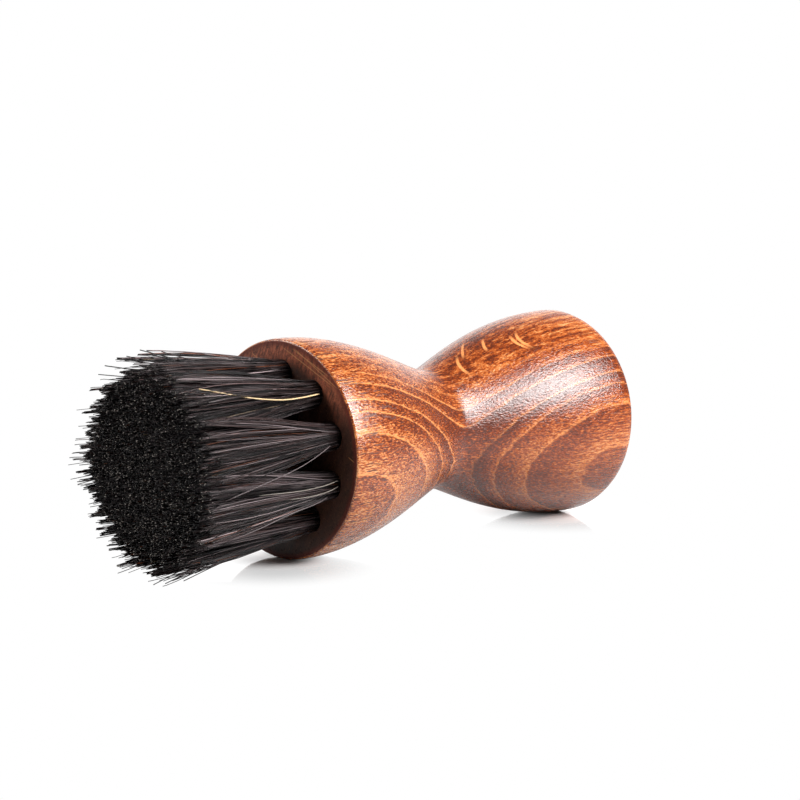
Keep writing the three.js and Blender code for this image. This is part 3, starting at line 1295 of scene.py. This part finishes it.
@dataclass
class TuftGrower:
    """Grows the tufts: one hair is modelled, and each hair of a tuft is a copy laid along its own path."""

    plan: BrushPlan
    # The hairs and how they leave the hole.
    hairs: int = 1300
    hair_radius: float = 0.08
    thickness: Span = (0.75, 1.2)
    hair_rings: tuple[float, ...] = (0.0, 0.15, 0.3, 0.45, 0.6, 0.75, 0.9, 0.975, 0.992, 1.0)
    loose_rings: int = 16
    root_depth: float = 2.0
    root_jitter: float = 0.15
    fan_bend: float = 1.15
    # Locks of hairs that lie together.
    lock_size: int = 11
    lock_pull: float = 0.45
    lock_bow: float = 0.35
    hair_bow: float = 0.4
    # Spread of the tips, and of the ones on the brush's edge.
    scatter: float = 0.6
    lock_scatter: float = 0.06
    edge_scatter: float = 0.9
    edge_pull: float = 0.75
    edge_width: float = 2.5
    # Trimming of the tips.
    trim: float = 0.2
    lock_trim: float = 0.08
    edge_trim: float = 0.8
    trim_limits: Span = (-1.6, 1.3)
    tip_inset: float = 0.1
    short_share: float = 0.05
    short_by: Span = (0.5, 4.0)
    # Hairs that stray among the others or fly out of the tuft.
    stray_share: float = 0.13
    stray_swing: float = 1.3
    stray_limit: float = 1.6
    fly_share: float = 0.06
    outer_fly_gain: float = 2.0
    fly_reach: float = 1.1
    fly_limit: float = 2.6
    low_fly_limit: float = 1.4
    table_gap: float = 0.2
    # Colours along the hairs: random tone, painted shade at the root and the tip, and painted glints on some
    # cut ends.
    lock_tone: float = 0.17
    hair_tone: float = 0.48
    # Painted shade: hairs darken towards the root, where the face shades them, and at the cut tip.
    shade: tuple[Span, ...] = (
        (0.0, 0.25),
        (0.1, 0.35),
        (0.4, 1.0),
        (0.9, 1.0),
        (0.975, 0.8),
        (0.992, 0.2),
        (1.0, 0.08),
    )
    # Painted glints: some cut ends are lightened to this colour at a random brightness.
    cut_glint: Colour = srgb(210, 200, 190)
    glint_share: float = 0.13
    glint_brightness: Span = (0.15, 1.1)
    tip_taper: float = 0.85
    # Strips of the UV map.
    strip_shape: float = 6.0
    strip_gaps: Span = (0.1, 0.05)
    seed: int = 7

    def __post_init__(self) -> None:
        """Models the hairs that all the others copy."""
        self.finish = Horsehair()
        self.material = self.finish.material()
        self.pattern = HairPattern(self.hair_rings)
        self.loose_pattern = HairPattern(np.linspace(0.0, 1.0, self.loose_rings))

    def tips(self, seat: Seat, disc: np.ndarray, dice: np.random.Generator) -> np.ndarray:
        """Spreads the hair tips of one tuft over its part of the trimmed end.

        Args:
            seat: The tuft's hole.
            disc: The hairs' places in the hole, on a unit disc.
            dice: The tuft's own random numbers.

        Returns:
            Tips by hair, outwards and sideways from the hole's axis.
        """
        count = len(disc)
        square = self.square(disc)
        near, far = seat.reach
        reach = np.sqrt(near**2 + (far**2 - near**2) * (square[:, 0] + 1) / 2)
        swing = seat.sector * square[:, 1]
        if seat.ring is Ring.OUTER:
            chance = self.fly_share * (1 + self.outer_fly_gain * (square[:, 0] > 0.5))
            fly = (dice.random(count) < chance) * dice.exponential(1.0, count)
            under = math.sin(seat.angle) < -0.5
            reach += fly.clip(0, self.low_fly_limit if under else self.fly_limit) * self.fly_reach
        tip = np.stack([reach * np.cos(swing) - seat.radius, reach * np.sin(swing)], 1)
        return tip + dice.normal(0, self.scatter, tip.shape)

    def paths(self, seat: Seat, dice: np.random.Generator) -> tuple[np.ndarray, np.ndarray]:
        """Lays out the hairs of one tuft, from inside the hole to the trimmed tips.

        Args:
            seat: The tuft's hole.
            dice: The tuft's own random numbers.

        Returns:
            Points by hair and ring, as distance from the face and Y and Z from the axis, and each hair's
            lock.
        """
        plan, count = self.plan, self.hairs
        order = np.arange(count) + 0.5
        share = np.sqrt(order / count)
        spin = order * math.pi * (3 - math.sqrt(5)) + dice.normal(0, self.root_jitter, count)
        disc = np.stack([share * np.cos(spin), share * np.sin(spin)], 1)
        root = (plan.hole_radius - 2 * self.hair_radius) * disc
        tip = self.tips(seat, disc, dice)

        locks = dice.choice(count, count // self.lock_size, replace=False)
        lock = np.argmin(((tip[:, None, :] - tip[locks][None]) ** 2).sum(2), 1)
        edge = np.zeros(count)
        if seat.ring is Ring.OUTER:
            reach = np.hypot(tip[:, 0] + seat.radius, tip[:, 1])
            edge = np.clip((reach - seat.reach[1]) / self.edge_width + 1, 0, 1)
        tip += (self.edge_pull * edge)[:, None] * (tip[locks][lock] - tip)
        spread = self.lock_scatter + self.edge_scatter * edge
        tip += dice.normal(0, 1.0, (len(locks), 2))[lock] * spread[:, None]
        bow = self.lock_pull * (tip[locks][lock] - tip)
        bow += dice.normal(0, self.lock_bow, (len(locks), 2))[lock]
        stray = dice.random(count) < self.stray_share
        bow += dice.normal(0, self.hair_bow, (count, 2))
        swing = dice.normal(0, 1.0, (count, 2)).clip(-self.stray_limit, self.stray_limit)
        tip += swing * (self.stray_swing * stray)[:, None]

        uneven = dice.normal(0, self.trim, count)
        uneven += dice.normal(0, 1.0, len(locks))[lock] * (self.lock_trim + self.edge_trim * edge)
        length = plan.bristle_length - self.tip_inset + uneven.clip(*self.trim_limits)
        length -= (dice.random(count) < self.short_share) * dice.uniform(*self.short_by, count)
        out = -self.root_depth + self.pattern.rings[None] * (length + self.root_depth)[:, None]
        part = np.clip(out / plan.bristle_length, 0, 1.0)
        fan = 0.5 * part + 0.5 * np.sin(part * math.pi / 2) ** self.fan_bend
        sway = np.sin(part * math.pi) * fan
        cross = root[:, None, :] + (tip - root)[:, None, :] * fan[:, :, None]
        cross += bow[:, None, :] * sway[:, :, None]
        cross[:, :, 0] += seat.radius
        cos, sin = math.cos(seat.angle), math.sin(seat.angle)
        turn = np.array([[cos, sin], [-sin, cos]])
        return np.concatenate([out[:, :, None], cross @ turn], 2), lock

    def loose_path(self, hair: LooseHair, seat: Seat) -> np.ndarray:
        """Lays out one loose hair, from inside its hole along its route.

        Args:
            hair: The loose hair.
            seat: The hole that it grows from.

        Returns:
            Points by ring, as in paths().
        """
        out, turn, reach = np.array(hair.route).T
        turn = np.radians(turn)
        root = (-self.root_depth, seat.radius * math.cos(seat.angle), seat.radius * math.sin(seat.angle))
        points = np.vstack([root, np.stack([out, reach * np.cos(turn), reach * np.sin(turn)], 1)])
        travel = np.concatenate([[0.0], np.cumsum(np.linalg.norm(np.diff(points, axis=0), axis=1))])
        wanted = self.loose_pattern.rings * travel[-1]
        slopes = np.gradient(points, travel, axis=0)
        step = np.clip(np.searchsorted(travel, wanted, side="right") - 1, 0, len(travel) - 2)
        span = np.diff(travel)[step][:, None]
        t = (wanted[:, None] - travel[step][:, None]) / span
        ends = points[step] * (1 + 2 * t) * (1 - t) ** 2 + points[step + 1] * t**2 * (3 - 2 * t)
        return ends + span * (slopes[step] * t * (1 - t) ** 2 - slopes[step + 1] * t**2 * (1 - t))

    @staticmethod
    def square(disc: np.ndarray) -> np.ndarray:
        """Spreads points of a disc evenly over a square, without folding it.

        Args:
            disc: Points of the unit disc.

        Returns:
            The points' places on a square from -1 to 1.
        """
        u, v = disc[:, 0], disc[:, 1]
        reach = np.hypot(u, v)
        angle = np.arctan2(v, u)
        side = np.floor((angle + math.pi / 4) / (math.pi / 2))
        rest = (angle - side * math.pi / 2) / (math.pi / 4)
        along, across = reach, reach * rest
        cos, sin = np.cos(side * math.pi / 2), np.sin(side * math.pi / 2)
        return np.stack([along * cos - across * sin, along * sin + across * cos], 1)

    def placed(self, points: np.ndarray) -> np.ndarray:
        """Moves points from the face's own directions into the scene, in metres."""
        away, across, up = np.moveaxis(points, -1, 0)
        return np.stack([self.plan.face_x - away, across, self.plan.axis_height + up], -1) * MM

    def tones(self, lock: np.ndarray, dice: np.random.Generator) -> np.ndarray:
        """Draws a colour for each hair of a tuft, by the shares in Hair.

        Args:
            lock: Each hair's lock, whose hairs are alike.
            dice: The tuft's own random numbers.

        Returns:
            Colours by hair.
        """
        colours, shares = zip(*(kind.value for kind in Hair))
        picked = dice.choice(len(shares), self.hairs, p=np.array(shares) / np.sum(shares))
        base = np.array(colours)[picked]
        spread = dice.normal(0, self.lock_tone, lock.max() + 1)[lock]
        spread += dice.normal(0, self.hair_tone, self.hairs)
        base[:, :3] *= np.exp(spread)[:, None]
        return base

    def shaded(self, base: np.ndarray, dice: np.random.Generator) -> np.ndarray:
        """Paints shade on hairs at the root and towards the tip, and a painted glint on some cut ends.

        Args:
            base: Colours by hair.
            dice: The tuft's own random numbers.

        Returns:
            Colours by hair and ring.
        """
        rings = self.pattern.rings
        # Painted shade at the root and at the tip.
        shade = np.interp(rings, *np.array(self.shade).T)
        full = np.repeat(base[:, None, :], len(rings), axis=1)
        full[:, :, :3] *= shade[None, :, None]
        # Painted glints on a share of the cut ends.
        cut = dice.random(len(full)) < self.glint_share
        full[cut, -1, :3] = np.array(self.cut_glint[:3]) * dice.uniform(*self.glint_brightness, (cut.sum(), 1))
        return full

    def grow(self, seat: Seat) -> bpy.types.Object:
        """Grows one tuft and dresses it.

        Args:
            seat: The tuft's hole.

        Returns:
            The finished tuft.
        """
        dice = np.random.default_rng([self.seed, seat.number, seat.ring is Ring.OUTER])
        loose = [hair for hair in LOOSE_HAIRS if seat.ring is Ring.OUTER and hair.tuft == seat.number]
        paths, lock = self.paths(seat, dice)
        batches = [(self.pattern, paths, dice.uniform(*self.thickness, self.hairs))]
        colours = [self.shaded(self.tones(lock, dice), dice)[:, self.pattern.ring_of].reshape(-1, 4)]
        for hair in loose:
            route = self.loose_path(hair, seat)[None]
            batches.append((self.loose_pattern, route, np.array([hair.thickness])))
            colours.append(np.tile(hair.kind.value[0], (len(self.loose_pattern.points), 1)))

        points, faces, strips = [], [], []
        for pattern, routes, thickness in batches:
            routes[:, :, 2] = np.maximum(routes[:, :, 2], self.table_gap - self.plan.axis_height)
            start = sum(len(block) for block in points)
            swept = self.placed(pattern.sweep(routes, self.hair_radius * thickness, self.tip_taper))
            for first in range(start, start + swept.shape[0] * swept.shape[1], swept.shape[1]):
                faces += [tuple(first + v for v in face) for face in pattern.faces]
                strips.append(pattern.points)
            points.append(swept.reshape(-1, 3))

        mesh = bpy.data.meshes.new(f"{seat.ring.value}_hair_{seat.number:02d}")
        mesh.from_pydata(np.concatenate(points).tolist(), [], faces)
        tone = mesh.attributes.new(self.finish.attribute, "FLOAT_COLOR", "POINT")
        tone.data.foreach_set("color", np.concatenate(colours).ravel())
        mesh.polygons.foreach_set("use_smooth", [True] * len(mesh.polygons))
        self.lay_strips(mesh, strips)
        mesh.materials.append(self.material)
        piece = bpy.data.objects.new(mesh.name, mesh)
        bpy.context.scene.collection.objects.link(piece)
        Bench.take(piece)
        bpy.ops.object.mode_set(mode="EDIT")
        bpy.ops.mesh.select_all(action="SELECT")
        bpy.ops.mesh.normals_make_consistent(inside=False)
        bpy.ops.object.mode_set(mode="OBJECT")
        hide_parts(seat.node("tuft"))
        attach(piece, BODY)
        return piece

    def lay_strips(self, mesh: bpy.types.Mesh, hairs: Sequence[np.ndarray]) -> None:
        """Gives each hair its own strip of the tuft's UV map, from root to tip.

        Args:
            mesh: The tuft's mesh.
            hairs: The vertices of the hair that each one copies, in the mesh's order.
        """
        columns = math.ceil(math.sqrt(len(hairs) * self.strip_shape))
        rows = math.ceil(len(hairs) / columns)
        shape = np.concatenate(hairs)
        number = np.repeat(np.arange(len(hairs)), [len(hair) for hair in hairs])
        side = np.arctan2(shape[:, 2], shape[:, 1]) / (2 * math.pi) + 0.5
        beside, above = self.strip_gaps
        u = (number % columns + beside + (1 - 2 * beside) * side) / columns
        v = (number // columns + above + (1 - 2 * above) * shape[:, 0]) / rows
        loops = np.empty(len(mesh.loops), int)
        mesh.loops.foreach_get("vertex_index", loops)
        layer = mesh.uv_layers.new(name="OFBake")
        layer.data.foreach_set("uv", np.stack([u, v], 1)[loops].ravel())


@dataclass(frozen=True)
class SoftBox:
    """One soft lamp that faces the brush.

    Attributes:
        name: The lamp's name.
        turn: Its place round the brush in degrees, to the right of the camera.
        rise: Its height above the table in degrees.
        away: Its distance.
        size: Its width and height.
        watts: Its power.
    """

    name: str
    turn: float
    rise: float
    away: float
    size: Span
    watts: float


@dataclass
class Studio:
    """White table, soft light and the camera at the photo's angle."""

    plan: BrushPlan
    # The camera.
    azimuth: float = -44.817
    elevation: float = 7.78
    distance: float = 457.5
    focal_px: float = 2551.0
    shift_right: float = 21.358
    shift_up: float = 8.947
    frame_px: float = 800.0
    sensor: float = 36.0
    clip_m: Span = (0.01, 50.0)
    # The table.
    table_m: float = 8.0
    bounce: Colour = (0.38, 0.38, 0.38, 1.0)
    sheen: Span = (0.72, 0.27)
    sheen_reach: Span = (50.0, 160.0)
    shaded_white: Colour = (1.3, 1.18, 1.15, 1.0)
    shadow_lead: float = 1.0
    shadow_reach: Span = (11.0, 20.0)
    mirror_reach: Span = (19.0, 22.0)
    mirror_shift: float = 6.0
    reach_core: float = 0.2
    table_polish: float = 0.06
    table_ior: float = 1.9
    # The lamps and the surround.
    boxes: tuple[SoftBox, ...] = (
        SoftBox("key_box", 71.0, 34.0, 560.0, (360.0, 300.0), 6.15),
        SoftBox("back_box", -100.0, 48.0, 600.0, (400.0, 300.0), 2.8),
    )
    backdrop_light: float = 1.6
    backdrop_width: Span = (0.6, 1.0)
    backdrop_rise: tuple[Span, ...] = ((0.0, 1.0), (0.24, 1.0), (0.36, 0.45), (0.5, 0.21), (0.85, 0.03))
    room_sheen: float = 0.08
    room_light: float = 0.22
    top_light: float = 0.38
    top_rise: Span = (0.2, 0.9)

    def towards(self, turn: float, rise: float) -> Vector:
        """Gives a direction from the brush, by degrees to the right of the camera and above the table."""
        around, up = math.radians(self.azimuth + turn), math.radians(rise)
        return Vector((math.sin(around) * math.cos(up), -math.cos(around) * math.cos(up), math.sin(up)))

    def camera(self) -> bpy.types.Object:
        """Sets up the camera.

        Returns:
            The camera.
        """
        back = self.towards(0.0, self.elevation)
        right = self.towards(90.0, 0.0)
        up = back.cross(right)
        face = Vector((self.plan.face_x, 0.0, self.plan.axis_height))
        place = face + back * self.distance + right * self.shift_right + up * self.shift_up
        data = bpy.data.cameras.new("camera")
        data.sensor_width = self.sensor
        data.lens = self.focal_px / self.frame_px * data.sensor_width
        data.clip_start, data.clip_end = self.clip_m
        camera = bpy.data.objects.new("camera", data)
        camera.matrix_world = Matrix.Translation(place * MM) @ Matrix((right, up, back)).transposed().to_4x4()
        bpy.context.scene.collection.objects.link(camera)
        bpy.context.scene.camera = camera
        return camera

    def beyond(self, sheet: NodeSheet, place: Socket, reaches: Span, shift: float = 0.0) -> Socket:
        """Tells the table near the head's and the butt's lowest points, 0, from the rest, 1.

        Args:
            sheet: The table's nodes.
            place: Where the table is seen.
            reaches: How far each point's surroundings go, the head's first.
            shift: How far they are moved towards the camera.

        Returns:
            The result socket.
        """
        face, butt = self.plan.face_x, self.plan.face_x + self.plan.handle_length
        lowest = (face - self.shadow_lead, butt - self.plan.butt_swell_height)
        moved = self.towards(0.0, self.elevation) * shift
        result = 1.0
        for along, reach in zip(lowest, reaches):
            away = sheet.node("ShaderNodeVectorMath", Vector=place)
            away.operation = "DISTANCE"
            away.inputs[1].default_value = Vector((along + moved.x, moved.y, 0.0)) * MM
            outside = sheet.band(away.outputs["Value"], self.reach_core * reach * MM, reach * MM)
            result = sheet.product(outside, result)
        return result

    def floor(self) -> bpy.types.Object:
        """Lays the white table, with the brush's shadow and a little polish close to it.

        Returns:
            The table.
        """
        Bench.clear()
        height = self.plan.axis_height - self.plan.swell_radius
        bpy.ops.mesh.primitive_plane_add(size=self.table_m, location=(0.0, 0.0, height * MM))
        table = bpy.context.object
        table.name = "table"
        Bench.settle(table)
        sheet = NodeSheet.finish("white_table")
        path = sheet.tree.nodes.new("ShaderNodeLightPath")
        seen = path.outputs["Is Camera Ray"]
        place = sheet.place()
        east, north, _ = sheet.split(place)
        away = sheet.band(sheet.length(east, north), *(reach * MM for reach in self.sheen_reach))
        near, far = self.sheen
        sheen = sheet.total(near, (away, 0.0, far - near))
        unseen = sheet.mix(path.outputs["Is Glossy Ray"], self.bounce, sheen)
        shaded = sheet.node("ShaderNodeBsdfDiffuse", Color=sheet.mix(seen, unseen, self.shaded_white))
        white = sheet.node("ShaderNodeEmission", Color=WHITE)
        plain = sheet.blend(sheet.product(seen, self.beyond(sheet, place, self.shadow_reach)), shaded, white)
        beyond = self.beyond(sheet, place, self.mirror_reach, self.mirror_shift)
        close = sheet.total(1.0, (beyond, 0.0, -1.0))
        polish = sheet.product(seen, close, sheet.node("ShaderNodeFresnel", IOR=self.table_ior).outputs[0])
        mirror = sheet.node("ShaderNodeBsdfGlossy", Color=WHITE, Roughness=self.table_polish)
        table.data.materials.append(sheet.shade(sheet.blend(polish, plain, mirror)))
        return table

    def lamp(self, box: SoftBox) -> None:
        """Hangs one soft box.

        Args:
            box: The soft box.
        """
        data = bpy.data.lights.new(box.name, "AREA")
        data.shape = "RECTANGLE"
        data.size, data.size_y = (side * MM for side in box.size)
        data.energy = box.watts
        lamp = bpy.data.objects.new(box.name, data)
        back = self.towards(box.turn, box.rise)
        target = Vector((0.0, 0.0, self.plan.axis_height))
        lamp.location = (target + back * box.away) * MM
        lamp.rotation_euler = back.to_track_quat("Z", "Y").to_euler()
        bpy.context.scene.collection.objects.link(lamp)

    def surround(self) -> None:
        """Sets the light all round: a backdrop for reflections, a soft fill, and white for the camera."""
        world = bpy.data.worlds.new("surround")
        bpy.context.scene.world = world
        sheet = NodeSheet(world)
        east, north, rise = sheet.split(sheet.place("Generated"))
        back = self.towards(0.0, self.elevation)
        behind = sheet.total(0.0, (east, 0.0, -back.x), (north, 0.0, -back.y))
        path = sheet.tree.nodes.new("ShaderNodeLightPath")
        wall = sheet.product(sheet.band(behind, *self.backdrop_width), self.backdrop_light)
        wall = sheet.math("MAXIMUM", wall, self.room_sheen)
        wall = sheet.product(wall, sheet.curve(rise, self.backdrop_rise))
        above = sheet.band(rise, *self.top_rise)
        fill = sheet.total(self.room_light, (above, 0.0, self.top_light - self.room_light))
        unseen = sheet.mix(path.outputs["Is Glossy Ray"], fill, wall)
        light = sheet.mix(path.outputs["Is Camera Ray"], unseen, WHITE)
        sheet.shade(sheet.node("ShaderNodeBackground", Color=light))

    def build(self) -> None:
        """Sets up the whole studio."""
        self.camera()
        self.floor()
        for box in self.boxes:
            self.lamp(box)
        self.surround()
        bpy.context.scene.view_settings.view_transform = "Standard"


def dress_staples(seats: Iterable[Seat]) -> None:
    """Gives the CAD staples their wire finish.

    Args:
        seats: The seats whose staples are dressed.
    """
    wire = DrawnWire().material()
    for seat in seats:
        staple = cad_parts[seat.node("staple")]
        staple.data.materials.clear()
        staple.data.materials.append(wire)
        log.info("dressed %s", staple.name)


def main() -> None:
    """Builds the brush and its studio, in order."""
    logging.basicConfig(level=logging.INFO, format="%(name)s: %(message)s")
    plan = BrushPlan()
    seats = plan.seats()
    Studio(plan).build()
    handle = TurnedHandle(plan).build(seats)
    log.info("built %s with %d faces", handle.name, len(handle.data.polygons))
    grower = TuftGrower(plan)
    for seat in seats:
        tuft = grower.grow(seat)
        log.info("grew %s with %d faces", tuft.name, len(tuft.data.polygons))
    dress_staples(seats)


if __name__ == "__main__":
    main()
